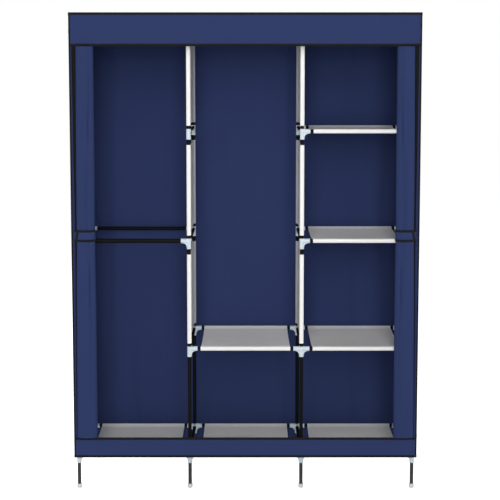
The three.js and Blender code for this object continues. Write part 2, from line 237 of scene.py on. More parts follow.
def channel(value):
    """One channel from 0 to 255, as the shader wants it."""
    value /= 255
    return value / 12.92 if value <= 0.04045 else ((value + 0.055) / 1.055) ** 2.4


def shade(tone, factor=1.0):
    """A tone of three channels from 0 to 255, made darker or paler by a factor."""
    return tuple(min(1.0, channel(value) * factor) for value in tone) + (1.0,)


class Nodes:
    """Short calls for making the nodes of one tree."""

    def __init__(self, tree):
        self.tree = tree

    def feed(self, socket, value):
        if isinstance(value, bpy.types.NodeSocket):
            self.tree.links.new(value, socket)
        else:
            socket.default_value = value

    def node(self, kind, inputs=None, **settings):
        made = self.tree.nodes.new(kind)
        for key, value in settings.items():
            setattr(made, key, value)
        for key, value in (inputs or {}).items():
            self.feed(made.inputs[key], value)
        return made

    def math(self, operation, *values):
        made = self.node("ShaderNodeMath", operation=operation)
        for socket, value in zip(made.inputs, values):
            self.feed(socket, value)
        return made.outputs[0]

    def mix(self, share, first, second):
        """A colour between two others."""
        made = self.node("ShaderNodeMix", data_type="RGBA")
        for index, value in ((0, share), (6, first), (7, second)):
            self.feed(made.inputs[index], value)
        return made.outputs[2]

    def spread(self, value, low, high):
        """A value from 0 to 1, moved to lie from low to high."""
        return self.math("MULTIPLY_ADD", value, high - low, low)

    def fade(self, value, start, end):
        """0 where a value is at its start and 1 at its end."""
        made = self.node("ShaderNodeMapRange", {"Value": value, "From Min": start, "From Max": end})
        return made.outputs["Result"]

    def noise(self, vector, scale, detail=2.0):
        made = self.node("ShaderNodeTexNoise", {"Vector": vector, "Scale": scale, "Detail": detail})
        return made.outputs["Fac"]

    def shades(self, share, tone, dark, pale):
        """A tone between two of its own shades."""
        return self.mix(share, shade(tone, dark), shade(tone, pale))


class Finish(Nodes):
    """One material and its nodes."""

    def __init__(self, name, roughness, **sockets):
        self.material = bpy.data.materials.new(name)
        self.material.use_nodes = True
        super().__init__(self.material.node_tree)
        self.shader = self.tree.nodes["Principled BSDF"]
        self.set(Roughness=roughness, **sockets)

    def set(self, **sockets):
        for socket, value in sockets.items():
            self.feed(self.shader.inputs[socket.replace("_", " ")], value)

    def place(self):
        return self.node("ShaderNodeTexCoord").outputs["Object"]

    def flat(self):
        """Metres along a piece and across it from its nearest stitch line."""
        return self.node("ShaderNodeUVMap", uv_map="flat").outputs[0]

    def bump(self, height, distance, strength):
        made = self.node("ShaderNodeBump", {"Height": height, "Distance": distance,
                                            "Strength": strength})
        held = self.shader.inputs["Normal"]
        if held.is_linked:
            self.feed(made.inputs["Normal"], held.links[0].from_socket)
        self.feed(held, made.outputs["Normal"])


def painted_steel():
    """Black stove enamel with a faint orange-peel skin and duller patches, and legs painted paler
    as painted light from the white floor.
    """
    made = Finish("painted_steel", 0.6, Specular_IOR_Level=0.06)
    place = made.place()
    patches = made.noise(place, 14.0)
    height = made.node("ShaderNodeSeparateXYZ", {"Vector": place}).outputs["Z"]
    black = made.shades(patches, (14, 14, 15), 0.75, 1.35)
    floor_lit_leg = made.shades(patches, (62, 60, 61), 0.85, 1.15)
    # Painted light: near the floor the black gives way to a paler grey, standing in for the light
    # the white floor throws on the legs
    made.set(Base_Color=made.mix(made.fade(height, LEG_FLOOR_LIGHT_TOP, LEG_FLOOR_LIGHT_FULL), black, floor_lit_leg),
             Roughness=made.spread(patches, 0.55, 0.7))
    made.bump(made.noise(place, 900.0), distance=0.00003, strength=0.5)
    return made.material


def moulded_plastic(name, tone):
    """Injection-moulded plastic with a fine spark-eroded grain and slow colour drift."""
    made = Finish(name, 0.42, Specular_IOR_Level=0.4)
    place = made.place()
    made.set(Base_Color=made.shades(made.noise(place, 25.0), tone, 0.94, 1.04),
             Roughness=made.spread(made.noise(place, 300.0), 0.36, 0.5))
    made.bump(made.noise(place, 2200.0, 3.0), distance=0.00003, strength=0.6)
    return made.material


def stitches(made, pitch, half_width):
    """1 on a thread of the nearest stitch line, 0 between stitches and away from it."""
    split = made.node("ShaderNodeSeparateXYZ", {"Vector": made.flat()}).outputs
    beat = made.math("FRACT", made.math("DIVIDE", split["X"], pitch))
    thread = made.math("LESS_THAN", beat, THREAD_SHARE)
    near = made.math("LESS_THAN", made.math("ABSOLUTE", split["Y"]), half_width)
    return made.math("MULTIPLY", thread, near)


def nonwoven_cloth(name, tone, thread_tone, sheen):
    """Spun-bonded cloth: embossed bond points in rows, loose fibres, slow shade drift."""
    made = Finish(name, 0.85, Specular_IOR_Level=0.02, Sheen_Weight=sheen, Sheen_Roughness=0.5)
    flat = made.flat()
    bonds = made.node("ShaderNodeTexVoronoi",
                      {"Vector": flat, "Scale": 1 / BOND_PITCH, "Randomness": 0.0},
                      voronoi_dimensions="2D").outputs["Distance"]
    pits = made.fade(bonds, 0.16, 0.34)
    fibres = made.noise(flat, 1500.0, 4.0)
    drift = made.noise(made.place(), 5.0, 3.0)
    base = made.shades(drift, tone, 1 - CLOTH_DRIFT, 1 + CLOTH_DRIFT)
    base = made.mix(made.spread(fibres, 0.18, 0.0), base, shade(tone, 0.72))
    base = made.mix(made.spread(pits, 0.14, 0.0), base, shade(tone, 0.6))
    sewn = stitches(made, *CLOTH_SEWING)
    made.set(Base_Color=made.mix(sewn, base, shade(thread_tone)),
             Roughness=made.spread(fibres, 0.78, 0.94))
    made.bump(pits, distance=0.00012, strength=0.5)
    made.bump(fibres, distance=0.00008, strength=0.4)
    made.bump(sewn, distance=0.0003, strength=0.8)
    return made.material


def binding_tape():
    """Black twill tape: slanted ribs, matt, with one stitch line near its open edge."""
    made = Finish("binding_tape", 0.8, Specular_IOR_Level=0.1, Sheen_Weight=0.02)
    black = (23, 22, 24)
    ribs = made.node("ShaderNodeTexWave",
                     {"Vector": made.flat(), "Scale": 260.0, "Distortion": 0.6, "Detail": 1.0},
                     bands_direction="DIAGONAL").outputs["Fac"]
    base = made.shades(made.noise(made.place(), 18.0), black, 0.8, 1.25)
    base = made.mix(made.spread(ribs, 0.0, 0.25), base, shade(black, 0.6))
    sewn = stitches(made, *TAPE_SEWING)
    made.set(Base_Color=made.mix(sewn, base, shade(black, 2.2)),
             Roughness=made.spread(ribs, 0.72, 0.9))
    made.bump(ribs, distance=0.00015, strength=0.6)
    made.bump(sewn, distance=0.0003, strength=0.8)
    return made.material


FINISHES = {
    "frame_tube": painted_steel(),
    "connector_plastic": moulded_plastic("connector_plastic", (203, 214, 222)),
    "cap_plastic": moulded_plastic("cap_plastic", (205, 205, 208)),
    "shelf_cloth": nonwoven_cloth("shelf_cloth", (242, 241, 239), (214, 213, 211), sheen=0.05),
    "cover_cloth": nonwoven_cloth("cover_cloth", (47, 58, 97), (38, 48, 82), sheen=0.01),
    "binding_tape": binding_tape(),
}


# Mesh making

class Shape:
    """Points and faces of a piece; flat holds metres along and across it for each point."""

    def __init__(self):
        self.points, self.faces, self.flat = [], [], []

    def surface(self, rows, flat=None, round_rows=False, loop=False, ends=False):
        """A surface through rows of points; round_rows joins each row's ends."""
        first, wide = len(self.points), len(rows[0])
        for row in rows:
            self.points.extend(row)
        self.flat.extend(flat or [(0.0, 1.0)] * (wide * len(rows)))
        spots = wide if round_rows else wide - 1
        for i in range(len(rows) if loop else len(rows) - 1):
            here, there = first + i * wide, first + (i + 1) % len(rows) * wide
            for j in range(spots):
                k = (j + 1) % wide
                self.faces.append((here + j, here + k, there + k, there + j))
        if ends:
            last = first + (len(rows) - 1) * wide
            self.faces.append(tuple(first + j for j in reversed(range(wide))))
            self.faces.append(tuple(last + j for j in range(wide)))
        return self

    def lathe(self, start, direction, profile, loop=False):
        """A round form: profile gives (distance along, radius) from start."""
        axis = Vector(direction).normalized()
        side = axis.orthogonal().normalized()
        other = axis.cross(side)
        turns = [2 * math.pi * k / ROUND_SIDES for k in range(ROUND_SIDES)]
        rows = [
            [Vector(start) + axis * along + (side * math.cos(a) + other * math.sin(a)) * radius
             for a in turns]
            for along, radius in profile
        ]
        return self.surface(rows, round_rows=True, loop=loop, ends=not loop)

    def tube(self, start, end, shoulder=0.0, radius=TUBE_RADIUS):
        """A hollow tube with slightly rounded ends, to a radius between any shoulders."""
        span = Vector(end) - Vector(start)
        length, inner, lip = span.length, TUBE_RADIUS - TUBE_WALL, TUBE_WALL / 2
        first = [(0, inner + lip), (lip, TUBE_RADIUS)]
        if shoulder:
            first += [(shoulder, TUBE_RADIUS), (shoulder, radius - 2 * lip),
                      (shoulder + 2 * lip, radius)]
        last = [(length - along, r) for along, r in reversed(first)]
        inside = [(length - lip, inner), (lip, inner)]
        return self.lathe(start, span, first + last + inside, loop=True)

    def mesh(self, name):
        made = bpy.data.meshes.new(name)
        made.from_pydata(self.points, [], self.faces)
        layer = made.uv_layers.new(name="flat")
        for loop in made.loops:
            layer.data[loop.index].uv = self.flat[loop.vertex_index]
        return made

    def add_mesh(self, mesh, place):
        """Takes in a finished mesh, moved to its place."""
        first = len(self.points)
        self.points.extend(place @ vertex.co for vertex in mesh.vertices)
        self.flat.extend([(0.0, 1.0)] * len(mesh.vertices))
        self.faces.extend(tuple(first + v for v in face.vertices) for face in mesh.polygons)


def apply_modifiers(obj):
    depsgraph = bpy.context.evaluated_depsgraph_get()
    made = bpy.data.meshes.new_from_object(obj.evaluated_get(depsgraph))
    obj.modifiers.clear()
    obj.data = made


def link(name, mesh):
    obj = bpy.data.objects.new(name, mesh)
    bpy.context.scene.collection.objects.link(obj)
    return obj


def piece(name, shape, slot, body="wardrobe", thickness=0.0, replaced=(), sharp=38):
    """A piece of the object with its slot's finish, riding on its body."""
    obj = link(name, shape.mesh(name))
    obj.data.materials.append(FINISHES[slot])
    if thickness:
        solid = obj.modifiers.new("cloth", "SOLIDIFY")
        solid.thickness = thickness
        solid.offset = 0
        apply_modifiers(obj)
    obj.data.shade_smooth()
    obj.data.set_sharp_from_angle(angle=math.radians(sharp))
    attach(obj, body)
    if replaced:
        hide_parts(*replaced)
    return obj


# Connectors

def collared(length, both_ends):
    """Profile of a moulded sleeve, thicker for a few millimetres at its open ends."""
    radius, soft = SLEEVE_RADIUS, COLLAR_RISE
    end = [(length - COLLAR_LENGTH - soft, radius), (length - COLLAR_LENGTH, radius + soft),
           (length - soft, radius + soft), (length, radius)]
    start = [(length - along, r) for along, r in reversed(end)] if both_ends else [(0, radius)]
    return start + end


def web(direction):
    """The rib under an arm: a thin plate whose free edge bows in towards the corner."""
    corner = SLEEVE_RADIUS
    reach = corner + WEB_REACH
    outline = [(WEB_ROOT, -reach), (WEB_ROOT, -WEB_ROOT), (reach, -WEB_ROOT)]
    for step in range(WEB_STEPS + 1):
        t = step / WEB_STEPS
        bow = WEB_BOW_SHARE * WEB_REACH * math.sin(math.pi * t) / math.sqrt(2)
        outline.append((reach - WEB_REACH * t - bow, -corner - WEB_REACH * t + bow))
    side = Vector((0, 0, 1)).cross(direction) * (WEB_THICKNESS / 2)
    rows = [[direction * h + Vector((0, 0, v)) + side * sign for h, v in outline]
            for sign in (-1, 1)]
    return Shape().surface(rows, round_rows=True, ends=True)


def connector_mesh(arms):
    """A connector round a post, at the rail axis, with its arms, webs and bores."""
    down, up = Vector((0, 0, -SLEEVE_DROP)), Vector((0, 0, 1))
    height = SLEEVE_DROP + SLEEVE_RISE
    body = link("connector", Shape().lathe(down, up, collared(height, True)).mesh("connector"))
    added, cut = [], []
    for arm in arms:
        added.append(Shape().lathe((0, 0, 0), arm, collared(ARM_REACH, False)))
        added.append(web(arm))
        bore = [(RAIL_START, BORE_RADIUS), (ARM_REACH * (1 + BORE_OVERRUN), BORE_RADIUS)]
        cut.append(Shape().lathe((0, 0, 0), arm, bore))
    through = [(0, BORE_RADIUS), (height * (1 + 2 * BORE_OVERRUN), BORE_RADIUS)]
    cut.append(Shape().lathe(down * (1 + BORE_OVERRUN), up, through))
    tools = []
    for operation, shapes in (("UNION", added), ("DIFFERENCE", cut)):
        for shape in shapes:
            tool = link("tool", shape.mesh("tool"))
            change = body.modifiers.new("change", "BOOLEAN")
            change.operation = operation
            change.solver = "EXACT"
            change.object = tool
            tools.append(tool)
    apply_modifiers(body)
    made = body.data
    for obj in [body, *tools]:
        bpy.data.objects.remove(obj)
    return made


ARM_WAYS = {"left": Vector((-1, 0, 0)), "right": Vector((1, 0, 0)), "inward": Vector((0, 1, 0))}
connector_kinds = {}


def add_connector(shape, column, row, level, arms):
    """Puts a connector with these arms on a post; a back one is the front one turned round."""
    turned = row == "back"
    swap = {"left": "right", "right": "left"} if turned else {}
    kind = tuple(sorted(swap.get(arm, arm) for arm in arms))
    if kind not in connector_kinds:
        connector_kinds[kind] = connector_mesh([ARM_WAYS[arm] for arm in kind])
    place = Matrix.Translation((post_x[column], row_y[row], level_z[level]))
    if turned:
        place @= Matrix.Rotation(math.pi, 4, "Z")
    shape.add_mesh(connector_kinds[kind], place)


# Frame

def across_ends(bay, row, level):
    """The ends of the tube from one post's connector to the next across a bay."""
    y, z = row_y[row], level_z[level]
    return (post_x[bay] + RAIL_START, y, z), (post_x[bay + 1] - RAIL_START, y, z)


def side_ends(column, level):
    """The ends of the tube from a front post's connector to the back one's."""
    x, z = post_x[column], level_z[level]
    return (x, row_y["front"] + RAIL_START, z), (x, row_y["back"] - RAIL_START, z)


def frame_tube(node, shape, ending="tube"):
    piece(f"{node}_{ending}", shape, "frame_tube", replaced=[node])


def foot_cap(x, y):
    """A cup for the post's foot: rounded below, two grip grooves, open above."""
    rim, groove = CAP_RADIUS, CAP_RADIUS - GRIP_DEPTH
    profile = [(height, rim - inset) for height, inset in CAP_FOOT_EDGE]
    for height in GRIP_HEIGHTS:
        profile += [(height - GRIP_HALF_WIDTH, rim), (height, groove),
                    (height + GRIP_HALF_WIDTH, rim)]
    profile += [(CAP_HEIGHT - CAP_RIM_EDGE, rim), (CAP_HEIGHT, rim - CAP_RIM_EDGE),
                (CAP_HEIGHT, BORE_RADIUS), (CAP_FLOOR, BORE_RADIUS)]
    return Shape().lathe((x, y, 0), (0, 0, 1), profile)


def make_posts():
    for column, column_name in enumerate(COLUMNS):
        for row in ROWS:
            name = f"{column_name}_{row}_post"
            x, y = post_x[column], row_y[row]
            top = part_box(name)[1].z
            frame_tube(name, Shape().tube((x, y, CAP_FLOOR), (x, y, top)))
            piece(f"{name}_cap", foot_cap(x, y), "cap_plastic")
            if column_name == "left_side":
                couplings = Shape()
                for level in ("low", "high"):
                    add_connector(couplings, column, row, level, [])
                piece(f"{name}_couplings", couplings, "connector_plastic")


def frame_pair(node, tubes, connectors):
    """The tubes and the connectors that stand for one node."""
    frame_tube(node, tubes, "tubes")
    piece(f"{node}_connectors", connectors, "connector_plastic")


def make_runs():
    """Levels whose rails run through neighbouring bays, and their side rails."""
    for level, bays in {"base": (0, 1, 2), "low": (1, 2), "top": (0, 1, 2)}.items():
        columns = [*bays, bays[-1] + 1]
        for row in ROWS:
            tubes, connectors = Shape(), Shape()
            for bay in bays:
                tubes.tube(*across_ends(bay, row, level))
            for column in columns:
                beside = {"left": column - 1, "right": column}
                arms = ["inward", *(way for way, bay in beside.items() if bay in bays)]
                add_connector(connectors, column, row, level, arms)
            frame_pair(f"{level}_{row}_rails", tubes, connectors)
        for column in columns:
            frame_tube(f"{level}_{COLUMNS[column]}_rail", Shape().tube(*side_ends(column, level)))


def make_rungs():
    """Levels whose side rails carry both connectors, and the rails that plug into them."""
    rungs = {"mid": {0: ["right"], 1: ["left"], 2: ["right"], 3: ["left"]},
             "high": {1: [], 2: ["right"], 3: ["left"]}}
    for level, arms_by_column in rungs.items():
        for column, arms in arms_by_column.items():
            tubes, connectors = Shape().tube(*side_ends(column, level)), Shape()
            for row in ROWS:
                add_connector(connectors, column, row, level, ["inward", *arms])
            frame_pair(f"{level}_{COLUMNS[column]}_rung", tubes, connectors)
    singles = {"left_hanging_rod_{}": (0, "mid"), "mid_right_{}_rail": (2, "mid"),
               "high_right_{}_rail": (2, "high")}
    for name, (bay, level) in singles.items():
        for row in ROWS:
            node = name.format(row)
            step = ROD_STEP if node == "left_hanging_rod_front" else ()
            frame_tube(node, Shape().tube(*across_ends(bay, row, level), *step))


# Hemmed cloth

def hem_path():
    """The cloth round a tube at the origin, from its sewn edge to where the sheet goes on."""
    seam = Vector((HEM_SEAM, -LAYER_GAP))
    grip = math.acos(HEM_RADIUS / seam.length)
    start = math.atan2(seam.y, seam.x) - grip
    end = math.acos(HEM_RADIUS / HEM_SEAM) - 2 * math.pi
    path = [Vector((HEM_SEAM + HEM_ALLOWANCE, seam.y)), seam]
    for step in range(HEM_STEPS + 1):
        angle = start + (end - start) * step / HEM_STEPS
        path.append(Vector((HEM_RADIUS * math.cos(angle), HEM_RADIUS * math.sin(angle))))
    path.append(Vector((HEM_SEAM, 0.0)))
    return path


def hemmed_path(depth):
    """The whole cloth from one tube to the next: (p, q, distance from a seam, share across)."""
    front = hem_path()
    back = [Vector((depth - point.x, point.y)) for point in reversed(front)]
    between = [Vector((HEM_SEAM + (depth - 2 * HEM_SEAM) * k / SHEET_STEPS, 0.0))
               for k in range(1, SHEET_STEPS)]
    path = front + between + back
    lengths = [0.0]
    for before, after in zip(path, path[1:]):
        lengths.append(lengths[-1] + (after - before).length)
    first, last = len(front) - 1, len(path) - len(front)
    seams = [lengths[k] for k in (1, first, last, -2)]
    rows = []
    for spot, (point, along) in enumerate(zip(path, lengths)):
        on_sheet = first <= spot <= last
        share = (point.x - HEM_SEAM) / (depth - 2 * HEM_SEAM) if on_sheet else 0.0
        rows.append((point.x, point.y, min(abs(along - s) for s in seams), share))
    return rows, lengths[-1]


def wander(x, y, z):
    """Smooth noise, from -1 to 1."""
    return noise.noise(Vector((x, y, z)))


def ripple(x, y, seed):
    """Slow uneven wrinkles, from about -1 to 1."""
    return wander(x, y, seed) + 0.4 * wander(2.7 * x, 2.3 * y, seed)


def held(share):
    """0 at a sheet's held ends and 1 at its middle."""
    return max(0.0, 4 * share * (1 - share))


def hemmed_cloth(node, steps, spot):
    """A sheet hemmed round two tubes; spot gives each point and its flat place."""
    path, around = hemmed_path(row_y["back"] - row_y["front"])
    rows, flat = [], []
    for p, q, seam, share in path:
        spots = [spot(step / steps, p, q, share) for step in range(steps + 1)]
        rows.append([point for point, _ in spots])
        flat.extend((along, seam) for _, along in spots)
    cloth = piece(f"{node}_cloth", Shape().surface(rows, flat), "shelf_cloth",
                  thickness=CLOTH_THICKNESS, replaced=[node], sharp=60)


def make_shelf(level, bay, seed):
    x0, x1 = post_x[bay] + SHELF_INSET, post_x[bay + 1] - SHELF_INSET
    grain_x, grain_p = SHELF_GRAIN

    def spot(across, p, q, share):
        x = x0 + (x1 - x0) * across
        sag = SHELF_SAG * held(share) * (1 + SHELF_EDGE_SAG_SHARE * (1 - held(across)))
        wrinkle = SHELF_WRINKLE * held(share) ** 0.5 * ripple(grain_x * x, grain_p * p, seed)
        return Vector((x, row_y["front"] + p, level_z[level] + q - sag + wrinkle)), x

    hemmed_cloth(f"{level}_{BAYS[bay]}_shelf", SHELF_STEPS,
                 spot)


def make_panel(column, below, above, seed):
    z0, z1 = level_z[below] + PANEL_FOOT, level_z[above] - PANEL_HEAD
    grain_z, grain_p = PANEL_GRAIN

    def spot(up, p, q, share):
        scallop = PANEL_SCALLOP * held(share) * (1 - 2 * up) ** 3
        z = z0 + (z1 - z0) * up + scallop
        wrinkle = PANEL_WRINKLE * held(share) ** 0.5 * ripple(grain_z * z, grain_p * p, seed)
        return Vector((post_x[column] + q + wrinkle, row_y["front"] + p, z)), z

    hemmed_cloth(f"{COLUMNS[column]}_panel_above_{below}", PANEL_STEPS,
                 spot)


def make_cloth_fittings():
    shelves = {"base": (0, 1, 2), "low": (1, 2), "mid": (2,), "high": (2,)}
    for rank, (level, bays) in enumerate(shelves.items()):
        for bay in bays:
            make_shelf(level, bay, seed=3.1 + 1.7 * rank + 5.3 * bay)
    storeys = (("low", "mid"), ("mid", "high"), ("high", "top"))
    for column in (1, 2):
        for rank, (below, above) in enumerate(storeys):
            make_panel(column, below, above, seed=31.3 + 2.9 * rank + 7.1 * column)


# Cover

hood_low, hood_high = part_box("cover_hood")
back_low, back_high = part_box("cover_back")
side_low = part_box("cover_left_side")[0]
flap_low, flap_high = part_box("cover_bottom_flap")
half_width = hood_high.x
front_face = hood_low.y
back_face = hood_high.y
top_level = back_high.z
front_cloth = front_face + FRONT_SETBACK


def run_lengths(path):
    """How far along its path each spot lies."""
    lengths = [0.0]
    for before, after in zip(path, path[1:]):
        lengths.append(lengths[-1] + math.dist(before, after))
    return lengths


def tape(name, path, across, out, body="wardrobe", width=TAPE_WIDTH):
    """Binding folded over an edge: path runs along the fold, across points into the cloth.

    out is square to the cloth, one direction for each point of the path."""
    thick = TAPE_GAP + TAPE_LEG
    outline = [(width, TAPE_GAP), (width, thick), (thick, thick), (thick / 4, thick * 0.7),
               (0.0, 0.0), (thick / 4, -thick * 0.7), (thick, -thick), (width, -thick),
               (width, -TAPE_GAP), (TAPE_LEG * 1.5, -TAPE_GAP), (TAPE_LEG * 1.5, TAPE_GAP)]
    rows, flat = [], []
    across = Vector(across)
    for point, along, way in zip(path, run_lengths(path), out):
        pucker = TAPE_PUCKER * wander(along * TAPE_PUCKER_GRAIN, point.x * 3, point.z * 3)
        rows.append([point + across * a + Vector(way) * (n + (pucker if n else 0.0))
                     for a, n in outline])
        flat.extend((along, a - TAPE_STITCH) for a, n in outline)
    shape = Shape().surface(rows, flat, round_rows=True, ends=True)
    return piece(name, shape, "binding_tape", body=body)


def straight_tape(name, start, end, across, out, width=TAPE_WIDTH):
    start, end = Vector(start), Vector(end)
    count = round((end - start).length / TAPE_STEP)
    path = [start.lerp(end, k / count) for k in range(count + 1)]
    return tape(name, path, across, [out] * len(path), width=width)


def cover_cloth(name, rows, flat, body="wardrobe", replaced=()):
    return piece(name, Shape().surface(rows, flat), "cover_cloth", body=body,
                 thickness=COVER_CLOTH, replaced=replaced, sharp=60)


def slack(place, lines):
    """0 at each line that holds the cloth, up to 1 midway across its widest span."""
    spans = list(zip(lines, lines[1:]))
    widest = max(after - before for before, after in spans)
    for before, after in spans:
        if before <= place <= after:
            span = (after - before) / widest
            return span * span * math.sin(math.pi * (place - before) / (after - before))
    return 0.0


def eased(value):
    value = min(1.0, max(0.0, value))
    return value * value * (3 - 2 * value)


def fold_lines(v, wide, seed):
    """The long folds that cross a height: (place, how deep, half width) for each."""
    count = round(wide / FOLD_PITCH)
    lines = []
    for k in range(count):
        start = wide * (k + 0.5 + FOLD_SCATTER * wander(7.3 * k, 0.5, seed)) / count
        place = start + FOLD_WANDER * wander(1.7 * v, 3.1 * k, seed + 1)
        deep = FOLD_DEPTH_SHARE + FOLD_DEPTH_SPREAD * wander(1.9 * v, 5.7 * k, seed + 2)
        broad = 1 + wander(1.3 * v, 2.9 * k, seed + 3)
        lines.append((place, max(0.0, deep), FOLD_HALF_WIDTH * broad))
    return lines


def fan_creases(u, v, wide, tall, seed):
    """Creases that fan out from the corners, where the cloth hangs from."""
    fan = 0.0
    for corner_u, corner_v in ((0.0, 0.0), (0.0, tall), (wide, 0.0), (wide, tall)):
        away = math.hypot(u - corner_u, v - corner_v)
        angle = math.atan2(abs(v - corner_v), abs(u - corner_u) + 1e-6)
        bend = 3 * wander(corner_u + away * 3, corner_v, seed + 6)
        fan += math.sin(FAN_RAYS * angle + bend) * math.exp(-away / FAN_REACH)
    return fan


def cover_sheet(name, corner, along, up, out, sag, swell, pucker, seed, across_lines=(),
                up_lines=(), replaced=()):
    """A panel of cover cloth: it dips between the tubes behind it, hangs in soft folds, and
    puckers where the binding is sewn to its edges."""
    corner, along, up, out = (Vector(v) for v in (corner, along, up, out))
    wide, tall = along.length, up.length
    across_all, up_all = (0.0, *across_lines, wide), (0.0, *up_lines, tall)
    steps_along, steps_up = (round(length / COVER_STEP) for length in (wide, tall))
    rows, flat = [], []
    for i in range(steps_up + 1):
        v = tall * i / steps_up
        lines = fold_lines(v, wide, seed)
        row = []
        for j in range(steps_along + 1):
            u = wide * j / steps_along
            edge = min(u, wide - u, v, tall - v)
            hold = eased(edge / EDGE_HOLD)
            tube = min([abs(u - line) for line in across_lines]
                       + [abs(v - line) for line in up_lines] + [1.0])
            wave = sum(deep * math.exp(-(((u - place) / half) ** 2))
                       for place, deep, half in lines)
            wave += RIPPLE_SHARE * ripple(u * RIPPLE_GRAIN[0], v * RIPPLE_GRAIN[1], seed)
            wave += FAN_SHARE * fan_creases(u, v, wide, tall, seed)
            if wave < 0:
                wave *= DIP_SHARE_AT_TUBE + (1 - DIP_SHARE_AT_TUBE) * eased(tube / TUBE_HOLD)
            gather = wander(u * PUCKER_GRAIN, v * PUCKER_GRAIN, seed + 8)
            gather *= eased(edge / PUCKER_START) * math.exp(-edge / PUCKER_FADE)
            dip = slack(u, across_all) * max(0.0, slack(v, up_all)) ** DIP_POWER
            move = swell * wave * hold + pucker * gather - sag * dip
            row.append(corner + along * (u / wide) + up * (v / tall) + out * move)
            flat.append((u, PANEL_FROM_STITCH + v))
        rows.append(row)
    return cover_cloth(name, rows, flat, replaced=replaced), (wide, tall)


def make_cover():
    inset = FRONT_SETBACK
    outer = half_width - inset
    low, back_foot = side_low.z + inset, back_low.z + inset
    across = (2 * outer, 0, 0)
    deep = (0, back_face - front_face - 2 * inset, 0)
    posts = [x + outer for x in post_x]
    rows = [row_y[row] - front_cloth for row in ROWS]
    rails = ("low", "mid", "high")

    sheets = {
        "top": cover_sheet(
            "cover_top_panel", (-outer, front_cloth, top_level + inset), across, deep, (0, 0, 1),
            *DRAPE["top"], posts, rows, ["cover_hood"]),
        "valance": cover_sheet(
            "cover_valance", (-outer, front_cloth, hood_low.z + inset), across,
            (0, 0, hood_high.z - hood_low.z - 2 * inset), (0, -1, 0), *DRAPE["valance"]),
        "back": cover_sheet(
            "cover_back_panel", (-outer, back_face - inset, back_foot), across,
            (0, 0, top_level - back_foot), (0, 1, 0), *DRAPE["back"], posts,
            [level_z[level] - back_foot for level in ("base", *rails)], ["cover_back"]),
        "flap": cover_sheet(
            "cover_bottom_flap_cloth", (-outer, front_cloth, flap_low.z + inset), across,
            (0, 0, flap_high.z - flap_low.z - 2 * inset), (0, -1, 0), *DRAPE["flap"],
            replaced=["cover_bottom_flap"]),
    }
    for side_name, side in SIDES.items():
        sheets[side_name] = cover_sheet(
            f"cover_{side_name}_side_panel", (side * outer, front_cloth, low), deep,
            (0, 0, top_level - low), (side, 0, 0), *DRAPE[side_name], rows,
            [level_z[level] - low for level in rails], [f"cover_{side_name}_side"])
    tapes = make_bindings()
    for key, (cloth, cut) in sheets.items():
        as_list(tapes[key])


def front_lip(side_name, side):
    """The edge of the side's cloth, turned round the front and seen beside the tape."""
    low, high = flap_high.z, hood_low.z
    near, far = half_width - FRONT_SETBACK - COVER_CLOTH / 2, half_width - LIP_WIDTH
    count = round((high - low) / TAPE_STEP)
    heights = [low + (high - low) * k / count for k in range(count + 1)]
    rows = [[Vector((side * x, front_cloth + LIP_SETBACK, z)) for x in (near, far)]
            for z in heights]
    flat = [(z, SHEET_FROM_STITCH + away) for z in heights for away in (0.0, near - far)]
    return cover_cloth(f"cover_{side_name}_front_lip", rows, flat)


def make_bindings():
    """Black tape on every edge and seam of the cover, listed by the sheet that it binds."""
    front, back = front_cloth, back_face - FRONT_SETBACK
    foot, back_foot, head = side_low.z, back_low.z, hood_high.z
    forward, backward, down, up = (0, -1, 0), (0, 1, 0), (0, 0, -1), (0, 0, 1)
    made = {}
    for side_name, side in SIDES.items():
        corner, face = side * half_width, side * (half_width - FRONT_SETBACK)
        inner, outer = (-side, 0, 0), (side, 0, 0)
        edges = {
            "front": ((corner, front, foot), (corner, front, head), inner, forward,
                      SIDE_TAPE_WIDTH),
            "back": ((corner, back, back_foot), (corner, back, top_level), inner, backward),
            "lower": ((face, front, foot), (face, back, foot), up, outer),
            "upper": ((face, front, head), (face, back, head), down, outer, ROOF_TAPE_WIDTH),
        }
        made[side_name] = [straight_tape(f"{side_name}_{edge}_edge_tape", *run)
                           for edge, run in edges.items()]
        made[side_name].append(front_lip(side_name, side))

    def crossing(name, y, z, across, width=TAPE_WIDTH):
        """A tape from side to side, between the upright ones."""
        if y == front:
            reach, out = half_width - SIDE_TAPE_WIDTH, forward
        else:
            reach, out = half_width - TAPE_WIDTH, backward
        return straight_tape(name, (-reach, y, z), (reach, y, z), across, out, width)

    made["top"] = [crossing("cover_ridge_tape", front, head, down)]
    made["valance"] = [crossing("valance_lower_edge_tape", front, hood_low.z, up)]
    made["flap"] = [crossing("flap_upper_edge_tape", front, flap_high.z, down),
                    crossing("flap_lower_edge_tape", front, foot, up)]
    made["back"] = [crossing("back_lower_edge_tape", back, back_foot, up),
                    crossing("back_upper_edge_tape", back, head, down, ROOF_TAPE_WIDTH)]
    return made


# Rolled curtains: u runs inward from the seam and v runs back from the front face

seam_x = half_width - BINDING_WIDTH - SEAM_DEPTH
tie_low, tie_high = (corner.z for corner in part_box("left_tie_band"))
tie_level = (tie_low + tie_high) / 2
roll_foot, roll_head = (corner.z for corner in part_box("left_curtain"))
roll_v = ROLL_THICKNESS / 2 - ROLL_PROUD
cloth_low, cloth_high = flap_high.z + CURTAIN_END_GAP, hood_low.z - CURTAIN_END_GAP
ring_heights = [cloth_low + (cloth_high - cloth_low) * ring / ROLL_RINGS
                for ring in range(ROLL_RINGS + 1)]


def tail_at(z):
    """How far the roll starts from the seam at a height."""
    if z > tie_high:
        return TAIL_TIE + (TAIL_TOP - TAIL_TIE) * (z - tie_high) / (roll_head - tie_high)
    return TAIL_TIE + (TAIL_FOOT - TAIL_TIE) * max(0.0, tie_low - z) / (tie_low - roll_foot)


def waist_at(z):
    away = max(0.0, tie_low - z, z - tie_high)
    return 1 - WAIST_SHARE * math.exp(-((away / WAIST_SPAN) ** 2))
